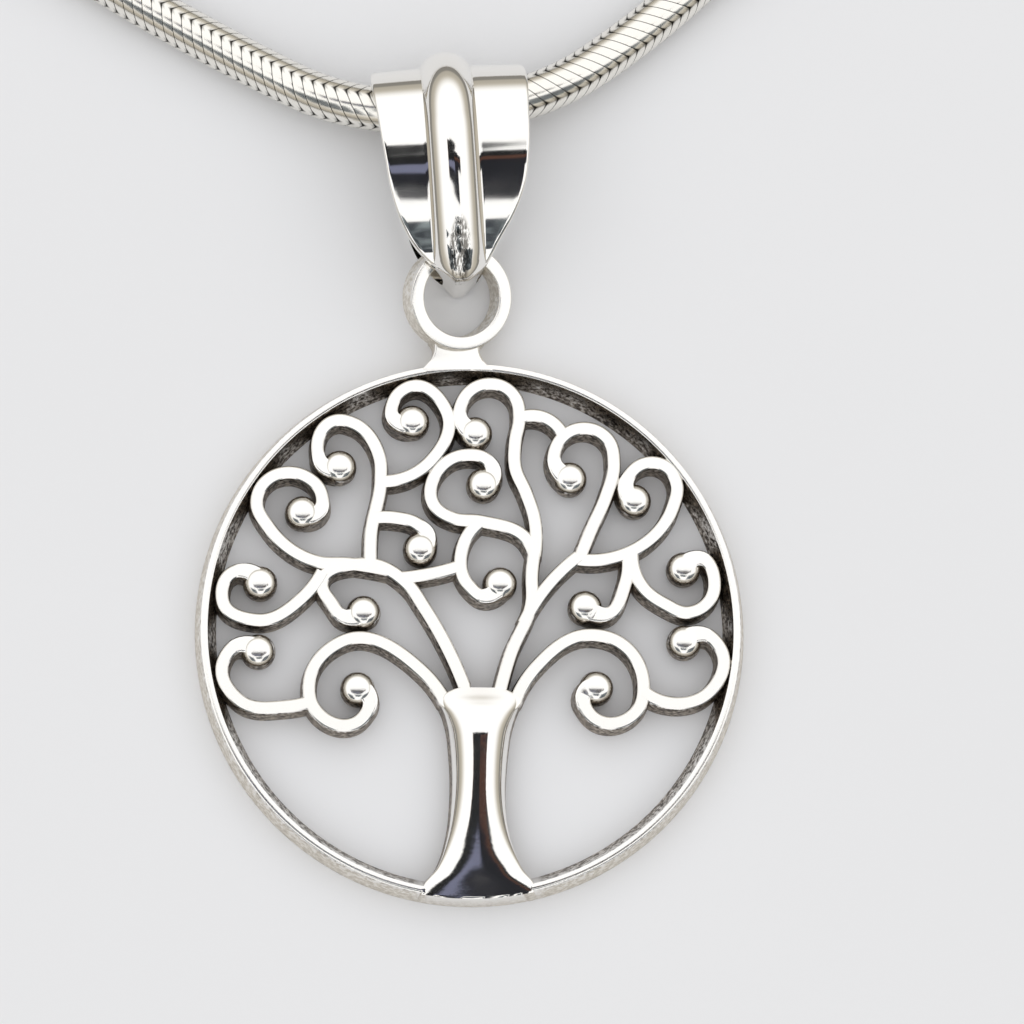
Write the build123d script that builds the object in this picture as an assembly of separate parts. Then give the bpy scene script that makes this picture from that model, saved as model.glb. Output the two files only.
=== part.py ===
from build123d import *

import cmath
import math
import os
from collections import namedtuple

# Medallion: a ring with a tree cut through inside it, cast in one piece with its neck and hanging loop
DISC_RADIUS = 14.0          # outer radius of the ring at its back
MEDALLION_THICKNESS = 1.65  # back to polished front
RING_BACK_WIDTH = 1.08      # width of the ring's band at the back
RING_FRONT_WIDTH = 0.48     # width of the polished flat on the ring's front
RING_OUTER_DRAFT = 0.24     # how far the ring's outer wall leans in
BOUGH_WIDTH = 0.78          # width of the wire that the boughs are made of
BALL_RADIUS = 0.88          # ball at the end of a scroll
BALL_FOOT_RADIUS = 0.66     # straight foot that carries the ball
BALL_PROUD = 0.1            # how far the ball's dome stands above the boughs
TRUNK_CREST = 2.3           # back to the highest part of the trunk's arched front
NECK_WIDTH = 2.3
NECK_ROOT_WIDTH = 3.2       # width where the neck flares into the ring
NECK_LEAN = -0.75           # middle of the neck and loop beside the disc's own middle
NECK_LENGTH = 0.83          # bare neck between the ring and the middle of the loop's band
LOOP_OUTER_RADIUS = 2.7
LOOP_WIRE = 0.68            # width of the loop's band, seen from the front
LOOP_DEPTH = 1.6            # depth of the loop's band, front to back
LOOP_FOOT_RISE = 1.23       # back of the medallion to the middle of the loop's band on the neck
LOOP_TURN = 16.0            # degrees that the loop is twisted on its neck
LOOP_LIFT = 11.0            # degrees that the loop's top stands up

# Bail: a strip folded over the chain and the loop, tapered to a tip
BAIL_WALL = 0.42
BAIL_LENGTH = 11.45         # tip to the outside of the fold
BAIL_HEIGHT = 5.5           # back to the crest of the front strip
BAIL_HALF_WIDTH = 4.0       # half the width at the fold
BAIL_BACK_SHARE = 0.75      # width of the back strip, as a share of the front's
BAIL_LEAN = 4.4             # degrees that the bail is turned in its loop
BAIL_SHIFT = 0.12           # tip beside the middle of the loop
BAIL_TIP_OVERLAP = 2.2      # how far the tip hangs below the outside of the loop's top
RIB_RADIUS = 1.5
RIB_PROUD = 0.78            # how far the rib stands out from the strip
RIB_TAIL = 4.0              # straight length of rib below the front's first row, trimmed to the tip

# Chain and clasp
CHAIN_DIAMETER = 2.3
CHAIN_SEAT_CLEARANCE = 0.59  # chain to the inside of the bail's fold
CHAIN_SEAT_RISE = 0.53      # chain above the bail's back strip
CLASP_RADIUS = 1.9
CLASP_LENGTH = 9.0
CLASP_SOCKET_DEPTH = 2.5
CLASP_CLEARANCE = 0.08      # chain end to the wall and floor of its socket

# Boughs of the tree. Points lie along the middle of each wire, as x and y from the disc's middle in
# percent of the disc's radius. Each bough starts inside the piece that carries it.
Bough = namedtuple("Bough", "name ends_in_ball points")
BOUGHS = [
    Bough("left_main", True,
          [(-2.5, -21), (-17, 7.5), (-23, 16), (-38, 23.5), (-54, 14.5), (-51, 9.5), (-46, 4), (-39, 6)]),
    Bough("left_upper", True,
          [(-29.5, 21), (-44.5, 23.5), (-55.5, 24), (-73.5, 36.5), (-78, 46), (-59.5, 55), (-54.5, 49),
           (-55.5, 42.5), (-61.5, 42.5)]),
    Bough("left_crown", True,
          [(-36.5, 22.5), (-36.5, 34), (-33, 54.5), (-33.5, 63), (-43.5, 75.5), (-48.5, 76.5), (-56, 65),
           (-53.5, 59.5), (-48, 59.5)]),
    Bough("left_top", True,
          [(-33, 54), (-15, 61.5), (-9, 80), (-23, 89), (-28.5, 83.5), (-28.5, 77.5), (-21.5, 76.5)]),
    Bough("left_inner_bud", True,
          [(-35.5, 40.5), (-27, 40.5), (-20, 38.5), (-16, 34), (-18.5, 29.5)]),
    Bough("left_outer", True,
          [(-54, 20.5), (-61, 11), (-77.5, 2.5), (-90, 9.5), (-84.5, 20.5), (-76.5, 16.5)]),
    Bough("left_low_outer", True,
          [(-57.5, -27), (-67, -29), (-83.5, -27), (-89.5, -12.5), (-85, -7), (-77, -8.5)]),
    Bough("left_low_scroll", True,
          [(-9.5, -26.5), (-18, -15.5), (-46.5, -5), (-58.5, -20), (-57, -29), (-38.5, -32),
           (-36.5, -26.5), (-41, -22)]),
    Bough("left_bridge", False,
          [(-25, 18.5), (-15, 20), (-2.5, 23.5)]),
    Bough("centre_scroll", True,
          [(23, 27), (20.5, 32.5), (3.5, 39.5), (-6.5, 40.5), (-13, 44.5), (-10.5, 60), (-2, 64),
           (6, 62), (8, 58), (4.5, 53.5)]),
    Bough("centre_hook", True,
          [(3.5, 39.5), (-3, 30.5), (-1, 16), (5, 12), (10.5, 17)]),
    Bough("right_top", True,
          [(23, 27), (23, 40.5), (20, 50), (16, 59.5), (16, 69.5), (17.5, 78), (16, 85.5), (-3, 84.5),
           (-4, 77.5), (1.5, 72.5)]),
    Bough("right_bridge", False,
          [(17.5, 78), (25.5, 78.5), (33.5, 71.5)]),
    Bough("right_crown", True,
          [(39.5, 26.5), (43.5, 36.5), (49, 49), (52, 61), (50, 70), (31.5, 68.5), (30.5, 61), (36, 56)]),
    Bough("right_upper", True,
          [(38, 26), (51.5, 26.5), (73.5, 45.5), (75, 53.5), (71.5, 60), (58, 57.5), (56.5, 51.5),
           (59.5, 48)]),
    Bough("right_outer", True,
          [(58.5, 28.5), (63, 15), (70.5, 9.5), (78.5, 6.5), (88.5, 16.5), (82, 26.5), (77.5, 23)]),
    Bough("right_inner_bud", True,
          [(57, 27), (56, 17), (48, 5.5), (41.5, 8.5)]),
    Bough("right_main", False,
          [(10.5, -22.5), (14, -10), (22, 10.5), (22, 20), (23, 28.5)]),
    Bough("right_fork", False,
          [(19, 2), (29.5, 18), (38, 26)]),
    Bough("right_low_scroll", True,
          [(16, -26.5), (23.5, -14), (43, -2), (53.5, -4.5), (62.5, -20.5), (60.5, -29), (42, -29.5),
           (40.5, -24.5), (45.5, -21)]),
    Bough("right_low_outer", True,
          [(62, -22), (71, -26.5), (87, -22), (90.5, -6.5), (85, -1.5), (77.5, -4)]),
]

# Sections across the trunk, from where the boughs leave it to the outer edge of the ring. Height,
# middle and half width are percent of the disc's radius, crest is percent of the trunk's highest part,
# and edge, where its front meets its side walls, is percent of the medallion's thickness.
TrunkSection = namedtuple("TrunkSection", "height middle half_width crest edge")
TRUNK = [
    TrunkSection(-22, 3.2, 12.5, 72, 96),
    TrunkSection(-27, 3.2, 14.5, 81, 92),
    TrunkSection(-33, 3.3, 12.5, 91.5, 72),
    TrunkSection(-40, 3.2, 11.0, 100, 58),
    TrunkSection(-50, 3.0, 10.0, 97.5, 56),
    TrunkSection(-63, 2.8, 9.8, 91, 56),
    TrunkSection(-76, 2.9, 11.4, 85, 56),
    TrunkSection(-87, 3.2, 15.3, 79.5, 62),
    TrunkSection(-94, 2.9, 20.0, 76, 84),
    TrunkSection(-99, 1.4, 19.5, 73.5, 97),
]

# Side profile of the bail, from the back round its tip, then over the front, where the rib runs, and
# round the fold to the back. Length is percent of the bail's length from its tip, and height is
# percent of its height.
ProfilePoint = namedtuple("ProfilePoint", "length height")
BAIL_TIP = [
    ProfilePoint(8, 0),
    ProfilePoint(1.5, 8),
    ProfilePoint(0, 25),
    ProfilePoint(0.8, 49),
]
BAIL_FRONT = [
    ProfilePoint(5, 68.5),
    ProfilePoint(20, 80),
    ProfilePoint(38, 90),
    ProfilePoint(55, 97),
    ProfilePoint(73, 100),
    ProfilePoint(88, 94),
    ProfilePoint(97, 74),
    ProfilePoint(100, 45),
    ProfilePoint(97, 16),
    ProfilePoint(85, 0),
]

# Front outline of the bail, cut by hand and a little wider on its right. Length is percent of its
# length from the tip, and left and right are the half widths beside the rib's middle, in percent of
# its half width at the fold.
OutlinePoint = namedtuple("OutlinePoint", "length left right")
BAIL_OUTLINE = [
    OutlinePoint(-1, 9, 9),
    OutlinePoint(1.5, 17.5, 20.5),
    OutlinePoint(6, 33, 36),
    OutlinePoint(16, 61, 55.5),
    OutlinePoint(27, 76, 76.5),
    OutlinePoint(40, 84.5, 92.5),
    OutlinePoint(55, 88.5, 99.5),
    OutlinePoint(75, 94, 102.5),
    OutlinePoint(100, 105.5, 111),
    OutlinePoint(115, 107.5, 113),
]

# Route of the chain from one end of the clasp to the other, seen from the front, in millimetres from
# its seat in the bail. Lift is the share of its height in the bail that it keeps above the floor.
RoutePoint = namedtuple("RoutePoint", "x y lift")
CHAIN_ROUTE = [
    RoutePoint(27, 142.5, 0),
    RoutePoint(42.5, 128, 0),
    RoutePoint(51.5, 109.5, 0),
    RoutePoint(54.5, 88.5, 0),
    RoutePoint(52, 68, 0),
    RoutePoint(44.5, 51, 0),
    RoutePoint(35, 35.8, 0),
    RoutePoint(25.1, 21.7, 0),
    RoutePoint(17.2, 11.3, 0),
    RoutePoint(10.6, 4.8, 0),
    RoutePoint(4.3, 0.28, 1),
    RoutePoint(-4.6, -0.3, 1),
    RoutePoint(-11.3, 3.2, 0),
    RoutePoint(-19.8, 8.1, 0),
    RoutePoint(-30, 16.2, 0),
    RoutePoint(-40.5, 28.5, 0),
    RoutePoint(-49.5, 45.5, 0),
    RoutePoint(-54, 65.5, 0),
    RoutePoint(-54.5, 87, 0),
    RoutePoint(-50, 108.5, 0),
    RoutePoint(-41, 127, 0),
    RoutePoint(-26.5, 142, 0),
]
CLASP_Y = 154.0             # middle of the clasp from the chain's seat
CLASP_RUN = 7.5             # straight run of chain between the clasp and its first bend
ARC_SHARE = 0.45            # of the shorter run beside a corner, taken by the corner's arc

RING_MIDDLE_RADIUS = DISC_RADIUS - RING_BACK_WIDTH / 2
LOOP_MEAN_RADIUS = LOOP_OUTER_RADIUS - LOOP_WIRE / 2


def turn(degrees):
    return cmath.exp(1j * math.radians(degrees))


def tangents(points):
    """Headings at the points: each is that of the circle through the point and its two neighbours."""
    last = len(points) - 1
    heading = [0] * (last + 1)
    for i in range(1, last):
        before = points[i] - points[i - 1]
        after = points[i + 1] - points[i]
        along = 1 / before.conjugate() + 1 / after.conjugate()
        heading[i] = along / abs(along)
    for end, inner in ((0, 1), (last, last - 1)):
        chord = points[inner] - points[end]
        chord /= abs(chord)
        heading[end] = chord * chord * heading[inner].conjugate()
    return heading


def smooth_arcs(points, first_heading=None, last_heading=None):
    """Tangent arcs through the points, two between each pair. An arc is its start, its end and the
    angle from its chord to its heading at the start."""
    heading = tangents(points)
    if first_heading is not None:
        heading[0] = first_heading
    if last_heading is not None:
        heading[-1] = last_heading
    arcs = []
    for a, b, out, back in zip(points, points[1:], heading, heading[1:]):
        chord = b - a
        both = out + back
        along = (chord * both.conjugate()).real
        bend = 1 - (out * back.conjugate()).real
        if bend < 1e-6:
            reach = abs(chord) ** 2 / (2 * along)
        else:
            reach = (math.sqrt(along ** 2 + 2 * bend * abs(chord) ** 2) - along) / (2 * bend)
        meet = (a + b + reach * (out - back)) / 2
        arcs.append((a, meet, cmath.phase(out / (meet - a))))
        arcs.append((meet, b, cmath.phase((b - meet) / back)))
    return arcs


def offset_arcs(arcs, distance):
    """The same arcs moved to their left by a distance."""
    moved = []
    for a, b, swing in arcs:
        chord = (b - a) / abs(b - a)
        left_a = 1j * chord * cmath.exp(1j * swing)
        left_b = 1j * chord * cmath.exp(-1j * swing)
        moved.append((a + distance * left_a, b + distance * left_b, swing))
    return moved


def reversed_arcs(arcs):
    return [(b, a, -swing) for a, b, swing in reversed(arcs)]


def place_flat(p):
    return Vector(p.real, p.imag, 0)


def place_upright(p):
    return Vector(0, p.real, p.imag)


def arc_edges(arcs, place=place_flat):
    edges = []
    for a, b, swing in arcs:
        bulge = 1j * (b - a) / 2 * math.tan(swing / 2)
        if abs(bulge) < 1e-4:
            edges.append(Line(place(a), place(b)))
        else:
            edges.append(ThreePointArc(place(a), place((a + b) / 2 + bulge), place(b)))
    return edges


def wire_face(arcs, width):
    """Flat strip of a given width along the arcs, square at both ends."""
    left = offset_arcs(arcs, width / 2)
    right = reversed_arcs(offset_arcs(arcs, -width / 2))
    edges = arc_edges(left)
    edges.append(Line(place_flat(left[-1][1]), place_flat(right[0][0])))
    edges += arc_edges(right)
    edges.append(Line(place_flat(right[-1][1]), place_flat(left[0][0])))
    return Face(Wire(edges))


def disc_point(x, y):
    """A point given in percent of the disc's radius."""
    return complex(x, y) * DISC_RADIUS / 100


def make_ring():
    back_inner = DISC_RADIUS - RING_BACK_WIDTH
    front_outer = DISC_RADIUS - RING_OUTER_DRAFT
    front_inner = front_outer - RING_FRONT_WIDTH
    section = Polyline(
        (back_inner, 0, 0),
        (DISC_RADIUS, 0, 0),
        (front_outer, 0, MEDALLION_THICKNESS),
        (front_inner, 0, MEDALLION_THICKNESS),
        close=True,
    )
    return revolve(Face(Wire(section.edges())), axis=Axis.Z)


def make_ball():
    """Ball that ends a scroll, standing on a straight foot."""
    top = MEDALLION_THICKNESS + BALL_PROUD
    middle = top - BALL_RADIUS
    foot_top = middle - math.sqrt(BALL_RADIUS ** 2 - BALL_FOOT_RADIUS ** 2)
    outline = [
        Line((0, 0, 0), (BALL_FOOT_RADIUS, 0, 0)),
        Line((BALL_FOOT_RADIUS, 0, 0), (BALL_FOOT_RADIUS, 0, foot_top)),
        ThreePointArc((BALL_FOOT_RADIUS, 0, foot_top), (BALL_RADIUS, 0, middle), (0, 0, top)),
        Line((0, 0, top), (0, 0, 0)),
    ]
    return revolve(Face(Wire(outline)), axis=Axis.Z)


def make_boughs():
    """All the scrolled wires as one pierced plate, with a domed ball where a scroll ends."""
    plan = Sketch()
    balls = []
    for bough in BOUGHS:
        points = [disc_point(x, y) for x, y in bough.points]
        plan += wire_face(smooth_arcs(points), BOUGH_WIDTH)
        if bough.ends_in_ball:
            balls.append(Pos(points[-1].real, points[-1].imag) * make_ball())
    return extrude(plan, amount=MEDALLION_THICKNESS, dir=(0, 0, 1)), balls


def trunk_section(row):
    """D-shaped section: flat back, upright side walls and an arched front."""
    y = row.height * DISC_RADIUS / 100
    middle = row.middle * DISC_RADIUS / 100
    half = row.half_width * DISC_RADIUS / 100
    crest = row.crest * TRUNK_CREST / 100
    edge = row.edge * MEDALLION_THICKNESS / 100
    outline = [
        Line((middle - half, y, 0), (middle + half, y, 0)),
        Line((middle + half, y, 0), (middle + half, y, edge)),
        ThreePointArc((middle + half, y, edge), (middle, y, crest), (middle - half, y, edge)),
        Line((middle - half, y, edge), (middle - half, y, 0)),
    ]
    return Face(Wire(outline))


def make_trunk():
    """The trunk, its foot trimmed to the outer wall of the ring."""
    within_ring = Cone(
        DISC_RADIUS,
        DISC_RADIUS - 2 * RING_OUTER_DRAFT,
        2 * MEDALLION_THICKNESS,
        align=(Align.CENTER, Align.CENTER, Align.MIN),
    )
    return loft([trunk_section(row) for row in TRUNK]) & within_ring


def make_neck():
    root = RING_MIDDLE_RADIUS
    top = DISC_RADIUS + NECK_LENGTH + LOOP_WIRE / 2
    outline = Polyline(
        (NECK_LEAN - NECK_ROOT_WIDTH / 2, root),
        (NECK_LEAN + NECK_ROOT_WIDTH / 2, root),
        (NECK_LEAN + NECK_WIDTH / 2, DISC_RADIUS + NECK_LENGTH / 2),
        (NECK_LEAN + NECK_WIDTH / 2, top),
        (NECK_LEAN - NECK_WIDTH / 2, top),
        (NECK_LEAN - NECK_WIDTH / 2, DISC_RADIUS + NECK_LENGTH / 2),
        close=True,
    )
    return extrude(Face(Wire(outline.edges())), amount=MEDALLION_THICKNESS, dir=(0, 0, 1))


def loop_location():
    """The loop's own middle. The lowest part of its band runs through the neck."""
    foot = Location((NECK_LEAN, DISC_RADIUS + NECK_LENGTH, LOOP_FOOT_RISE))
    return foot * Location((0, 0, 0), (LOOP_LIFT, LOOP_TURN, 0)) * Location((0, LOOP_MEAN_RADIUS, 0))


def make_loop():
    band = Cylinder(LOOP_OUTER_RADIUS, LOOP_DEPTH) - Cylinder(LOOP_OUTER_RADIUS - LOOP_WIRE, LOOP_DEPTH)
    return loop_location() * band


def make_medallion():
    boughs, balls = make_boughs()
    body = make_ring() + boughs + balls
    for piece in (make_trunk(), make_neck(), make_loop()):
        body += piece
    return body


def bail_location():
    """The bail's own frame: its tip at the origin on the floor, its length along +Y."""
    loop_top = loop_location() * Location((0, LOOP_OUTER_RADIUS, 0))
    tip = (loop_top.position.X + BAIL_SHIFT, loop_top.position.Y - BAIL_TIP_OVERLAP, 0)
    return Location(tip, (0, 0, BAIL_LEAN))


def bail_profile_arcs():
    rows = BAIL_TIP + BAIL_FRONT
    points = [complex(row.length * BAIL_LENGTH, row.height * BAIL_HEIGHT) / 100 for row in rows]
    return smooth_arcs(points, first_heading=-1, last_heading=-1)


def upright_face(arcs):
    """Face in the plane across X that the arcs bound, closed by a straight line."""
    edges = arc_edges(arcs, place_upright)
    edges.append(Line(place_upright(arcs[-1][1]), place_upright(arcs[0][0])))
    return Face(Wire(edges))


def bail_outline_face(share, height):
    """Shield seen from the front at a height, with its widths times a share."""
    left = []
    right = []
    for row in BAIL_OUTLINE:
        length = row.length * BAIL_LENGTH / 100
        unit = share * BAIL_HALF_WIDTH / 100
        left.append(complex(-row.left * unit, length))
        right.append(complex(row.right * unit, length))
    edges = arc_edges(smooth_arcs(right))
    edges.append(Line(place_flat(right[-1]), place_flat(left[-1])))
    edges += arc_edges(reversed_arcs(smooth_arcs(left)))
    edges.append(Line(place_flat(left[0]), place_flat(right[0])))
    return Pos(0, 0, height) * Face(Wire(edges))


def make_bail_outline():
    """Block that the folded strip is cut to: the shield, narrower towards the back."""
    taper = (1 - BAIL_BACK_SHARE) / 2
    under = bail_outline_face(BAIL_BACK_SHARE - taper, -BAIL_HEIGHT / 2)
    above = bail_outline_face(1 + taper, BAIL_HEIGHT * 3 / 2)
    return loft([under, above], ruled=True)


def make_rib():
    """Round bar along the middle of the front strip and over the fold, of which the outer part shows."""
    arcs = offset_arcs(bail_profile_arcs(), -(RIB_RADIUS - RIB_PROUD))
    front = arcs[2 * len(BAIL_TIP):]
    start, meet, swing = front[0]
    heading = (meet - start) / abs(meet - start) * cmath.exp(1j * swing)
    tail = start - RIB_TAIL * heading
    path = Wire([Line(place_upright(tail), place_upright(start))] + arc_edges(front, place_upright))
    section = Plane(origin=place_upright(tail), z_dir=place_upright(heading)) * Circle(RIB_RADIUS)
    return sweep(section, path=path)


def make_bail():
    """Folded strip with its rib, cut to the shield and to the floor, around an open inside."""
    profile = upright_face(bail_profile_arcs())
    block = extrude(profile, amount=2 * BAIL_HALF_WIDTH, both=True)
    hollow = extrude(offset(profile, amount=-BAIL_WALL), amount=2 * BAIL_HALF_WIDTH, both=True)
    under_floor = Pos(0, 0, -BAIL_HEIGHT) * Box(4 * BAIL_HALF_WIDTH, 4 * BAIL_LENGTH, 2 * BAIL_HEIGHT)
    strip = (block + make_rib() - under_floor) & make_bail_outline()
    return bail_location() * (strip - hollow)


def chain_seat():
    """Middle of the chain where it crosses the bail's middle, inside the fold."""
    inset = BAIL_WALL + CHAIN_DIAMETER / 2
    seat = (0, BAIL_LENGTH - inset - CHAIN_SEAT_CLEARANCE, inset + CHAIN_SEAT_RISE)
    return (bail_location() * Location(seat)).position


def clasp_middle():
    seat = chain_seat()
    return Vector(seat.X, seat.Y + CLASP_Y, CLASP_RADIUS)


def chain_points():
    seat = chain_seat()
    floor_height = CHAIN_DIAMETER / 2
    middle = clasp_middle()
    end = CLASP_LENGTH / 2 - CLASP_SOCKET_DEPTH + CLASP_CLEARANCE
    bend = CLASP_LENGTH / 2 + CLASP_RUN
    points = [middle + Vector(end, 0, 0), middle + Vector(bend, 0, 0)]
    for row in CHAIN_ROUTE:
        height = floor_height + row.lift * (seat.Z - floor_height)
        points.append(Vector(seat.X + row.x, seat.Y + row.y, height))
    points += [middle - Vector(bend, 0, 0), middle - Vector(end, 0, 0)]
    return points


def make_chain():
    """Round tube along straight runs joined by tangent arcs, as large as the runs allow."""
    points = chain_points()
    radii = []
    for before, corner, after in zip(points, points[1:], points[2:]):
        bend = math.radians((corner - before).get_angle(after - corner))
        shorter = min((corner - before).length, (after - corner).length)
        radii.append(ARC_SHARE * shorter / math.tan(bend / 2))
    path = FilletPolyline(*points, radius=radii)
    section = Plane(origin=points[0], z_dir=points[1] - points[0]) * Circle(CHAIN_DIAMETER / 2)
    print("chain radii", [round(r, 1) for r in radii])
    print("chain length", round(path.length, 2))
    return sweep(section, path=path), path.length


def make_clasp():
    """Barrel with a socket for the chain in each end."""
    half = CLASP_LENGTH / 2
    mouth = (CLASP_RADIUS + CHAIN_DIAMETER / 2) / 2
    outline = [
        Line((-half, 0, 0), (-half, mouth, 0)),
        ThreePointArc((-half, mouth, 0), (0, CLASP_RADIUS, 0), (half, mouth, 0)),
        Line((half, mouth, 0), (half, 0, 0)),
        Line((half, 0, 0), (-half, 0, 0)),
    ]
    barrel = revolve(Face(Wire(outline)), axis=Axis.X)
    socket = Rot(0, 90, 0) * Cylinder(CHAIN_DIAMETER / 2 + CLASP_CLEARANCE, 2 * CLASP_SOCKET_DEPTH)
    for side in (-1, 1):
        barrel -= Pos(side * half, 0, 0) * socket
    return Pos(clasp_middle()) * barrel


chain, chain_length = make_chain()
nodes = {
    "medallion": make_medallion(),
    "bail": make_bail(),
    "snake_chain": chain,
    "barrel_clasp": make_clasp(),
}

# The origin is under the middle of the whole necklace, on the floor
boxes = [shape.bounding_box() for shape in nodes.values()]
middle_x = (min(box.min.X for box in boxes) + max(box.max.X for box in boxes)) / 2
middle_y = (min(box.min.Y for box in boxes) + max(box.max.Y for box in boxes)) / 2
to_origin = Location((-middle_x, -middle_y, 0))
print("disc middle is moved by", round(-middle_x, 4), round(-middle_y, 4))

os.makedirs("parts", exist_ok=True)
for name, shape in nodes.items():
    solid = (to_origin * shape).solid()
    print(name, "solids", len(shape.solids()), "volume", round(solid.volume, 3), "valid", solid.is_valid)
    export_step(solid, f"parts/{name}.step")
tube_volume = math.pi * (CHAIN_DIAMETER / 2) ** 2 * chain_length
print("chain section times length", round(tube_volume, 3))
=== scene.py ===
import math

import bpy
import numpy as np
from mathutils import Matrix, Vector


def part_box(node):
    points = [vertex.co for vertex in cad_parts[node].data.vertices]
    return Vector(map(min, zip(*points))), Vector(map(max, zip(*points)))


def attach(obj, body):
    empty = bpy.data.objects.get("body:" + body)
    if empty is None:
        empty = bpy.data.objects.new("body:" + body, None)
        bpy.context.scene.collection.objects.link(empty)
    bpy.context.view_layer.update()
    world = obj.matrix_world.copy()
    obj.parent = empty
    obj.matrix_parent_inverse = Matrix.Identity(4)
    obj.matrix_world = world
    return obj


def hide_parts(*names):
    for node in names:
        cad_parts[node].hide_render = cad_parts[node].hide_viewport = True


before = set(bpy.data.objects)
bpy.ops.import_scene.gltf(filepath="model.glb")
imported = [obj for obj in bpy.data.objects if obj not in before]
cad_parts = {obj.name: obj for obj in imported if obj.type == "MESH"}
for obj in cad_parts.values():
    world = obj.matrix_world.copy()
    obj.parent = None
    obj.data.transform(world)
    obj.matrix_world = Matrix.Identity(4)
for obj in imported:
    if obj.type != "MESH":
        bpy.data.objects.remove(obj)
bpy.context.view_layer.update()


# Studio: the necklace lies on a pale lacquered table under a large white tent, and the camera looks
# down on the pendant from just below it. Pieces of dark cloth round the lens give the silver its dark
# bands.

MM = 0.001
DISC_RADIUS = 14.0 * MM
LENS_FROM_PENDANT = 290.0 * MM
LENS_PIXELS = 5688.0
IMAGE_PIXELS = 1024
SENSOR_WIDTH = 36.0
CAMERA_RISE = math.radians(79.3)
CAMERA_SIDE = math.radians(16.0)
# What the camera looks at, from the middle of the disc's back
CAMERA_AIM = np.array([2.09, 6.10, 1.2]) * MM
TABLE_HALF = 1500 * MM
TABLE_GRAINS_PER_MM = 0.04
TABLE_WHITE = "#E9EAED"
TENT_WHITE = "#FBFBFB"
TENT_HEM = "#D9D2C4"
UNDER_HEM_GREY = "#A5A29B"
CLOTH_BLACK = "#0D0F12"
CLOTH_NAVY = "#12141F"
CLOTH_LAVENDER = "#8286A0"
CLOTH_BROWN = "#5E3B2C"
CLOTH_SLATE = "#3F444B"
CLOTH_SLATE_LIGHT = "#98A3A6"
CLOTH_HEIGHT = 300 * MM
CLOTH_FOLDS_PER_MM = 0.03
CLOTH_CREASES_PER_MM = 0.09
# Bands of the cloth's left and right side under its black top: top edge in millimetres from the disc's
# middle, and colour
LEFT_BANDS = [(-6, CLOTH_LAVENDER), (-21, CLOTH_NAVY)]
RIGHT_BANDS = [(8, CLOTH_BROWN), (1, CLOTH_NAVY)]
# Each band blends into the next over this many millimetres on both sides of its edge
BAND_SOFTNESS = 1.5
# Left, right, near and far edges of each piece of cloth, in millimetres from the disc's middle
CLOTH_PIECES = {
    "middle": (-60, 80, -43, 15), "left": (-110, -60, -43, 12), "right": (80, 140, -20, 11),
    "low": (-45, 65, -138, -66), "low_left": (-330, -100, -420, -115),
    "low_right": (110, 480, -420, -105),
}
# Settings of nodes that are used often: a ramp with soft ends, and a mix of two colours
SOFT_RAMP = {"interpolation_type": "SMOOTHSTEP"}
OF_COLOURS = {"data_type": "RGBA"}

medallion_low, medallion_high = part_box("medallion")
disc_x = (medallion_low.x + medallion_high.x) / 2
disc_y = medallion_low.y + DISC_RADIUS
disc_middle = np.array([disc_x, disc_y, 0])


def linear(sheet_colour):
    """sRGB hex to linear RGBA: a value up to 0.04045 is divided by 12.92, and any other has 0.055
    added, is divided by 1.055 and raised to the power 2.4."""
    values = [int(sheet_colour[i:i + 2], 16) / 255 for i in (1, 3, 5)]
    return tuple(v / 12.92 if v <= 0.04045 else ((v + 0.055) / 1.055) ** 2.4 for v in values) + (1.0,)


def add(tree, kind, settings=None, **inputs):
    """Adds a node. Settings are its own properties. An input is a value, or the socket it links from.
    It is named as its socket is, with underscores for spaces, or by the letter i and its number."""
    node = tree.nodes.new(kind)
    for name, value in (settings or {}).items():
        setattr(node, name, value)
    for name, value in inputs.items():
        key = name.replace("_", " ")
        socket = node.inputs[int(key[1:])] if key[0] == "i" and key[1:].isdigit() else node.inputs[key]
        if isinstance(value, bpy.types.NodeSocket):
            tree.links.new(value, socket)
        else:
            socket.default_value = value
    return node


def new_material(name):
    """New material without nodes yet, and its node tree."""
    material = bpy.data.materials.new(name)
    material.use_nodes = True
    material.node_tree.nodes.clear()
    return material, material.node_tree


def new_mesh(name, points, faces, material, smooth_angle=40):
    """Mesh of the points, an array of rows x, y, z in metres, and the faces, a list of index lists. An
    edge that bends by more than the angle, in degrees, stays sharp."""
    mesh = bpy.data.meshes.new(name)
    mesh.from_pydata(points.tolist(), [], faces)
    mesh.materials.append(material)
    piece = bpy.data.objects.new(name, mesh)
    bpy.context.scene.collection.objects.link(piece)
    mesh.shade_smooth()
    mesh.set_sharp_from_angle(angle=math.radians(smooth_angle))
    return piece


def card(name, middle, across, along, material):
    """Flat rectangle: its middle plus and minus two half edges."""
    middle, across, along = (np.array(v, float) for v in (middle, across, along))
    corners = np.array([middle - across - along, middle + across - along,
                        middle + across + along, middle - across + along])
    piece = new_mesh(name, corners, [[0, 1, 2, 3]], material)
    return piece


target = disc_middle + CAMERA_AIM
to_lens = np.array([-math.sin(CAMERA_SIDE) * math.cos(CAMERA_RISE),
                    -math.cos(CAMERA_SIDE) * math.cos(CAMERA_RISE),
                    math.sin(CAMERA_RISE)])
right = np.cross([0, 1, 0], to_lens)
right /= np.linalg.norm(right)
upward = np.cross(to_lens, right)

lens = bpy.data.cameras.new("camera")
lens.sensor_width = SENSOR_WIDTH
lens.lens = SENSOR_WIDTH * LENS_PIXELS / IMAGE_PIXELS
lens.clip_start = 10 * MM
camera = bpy.data.objects.new("camera", lens)
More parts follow.
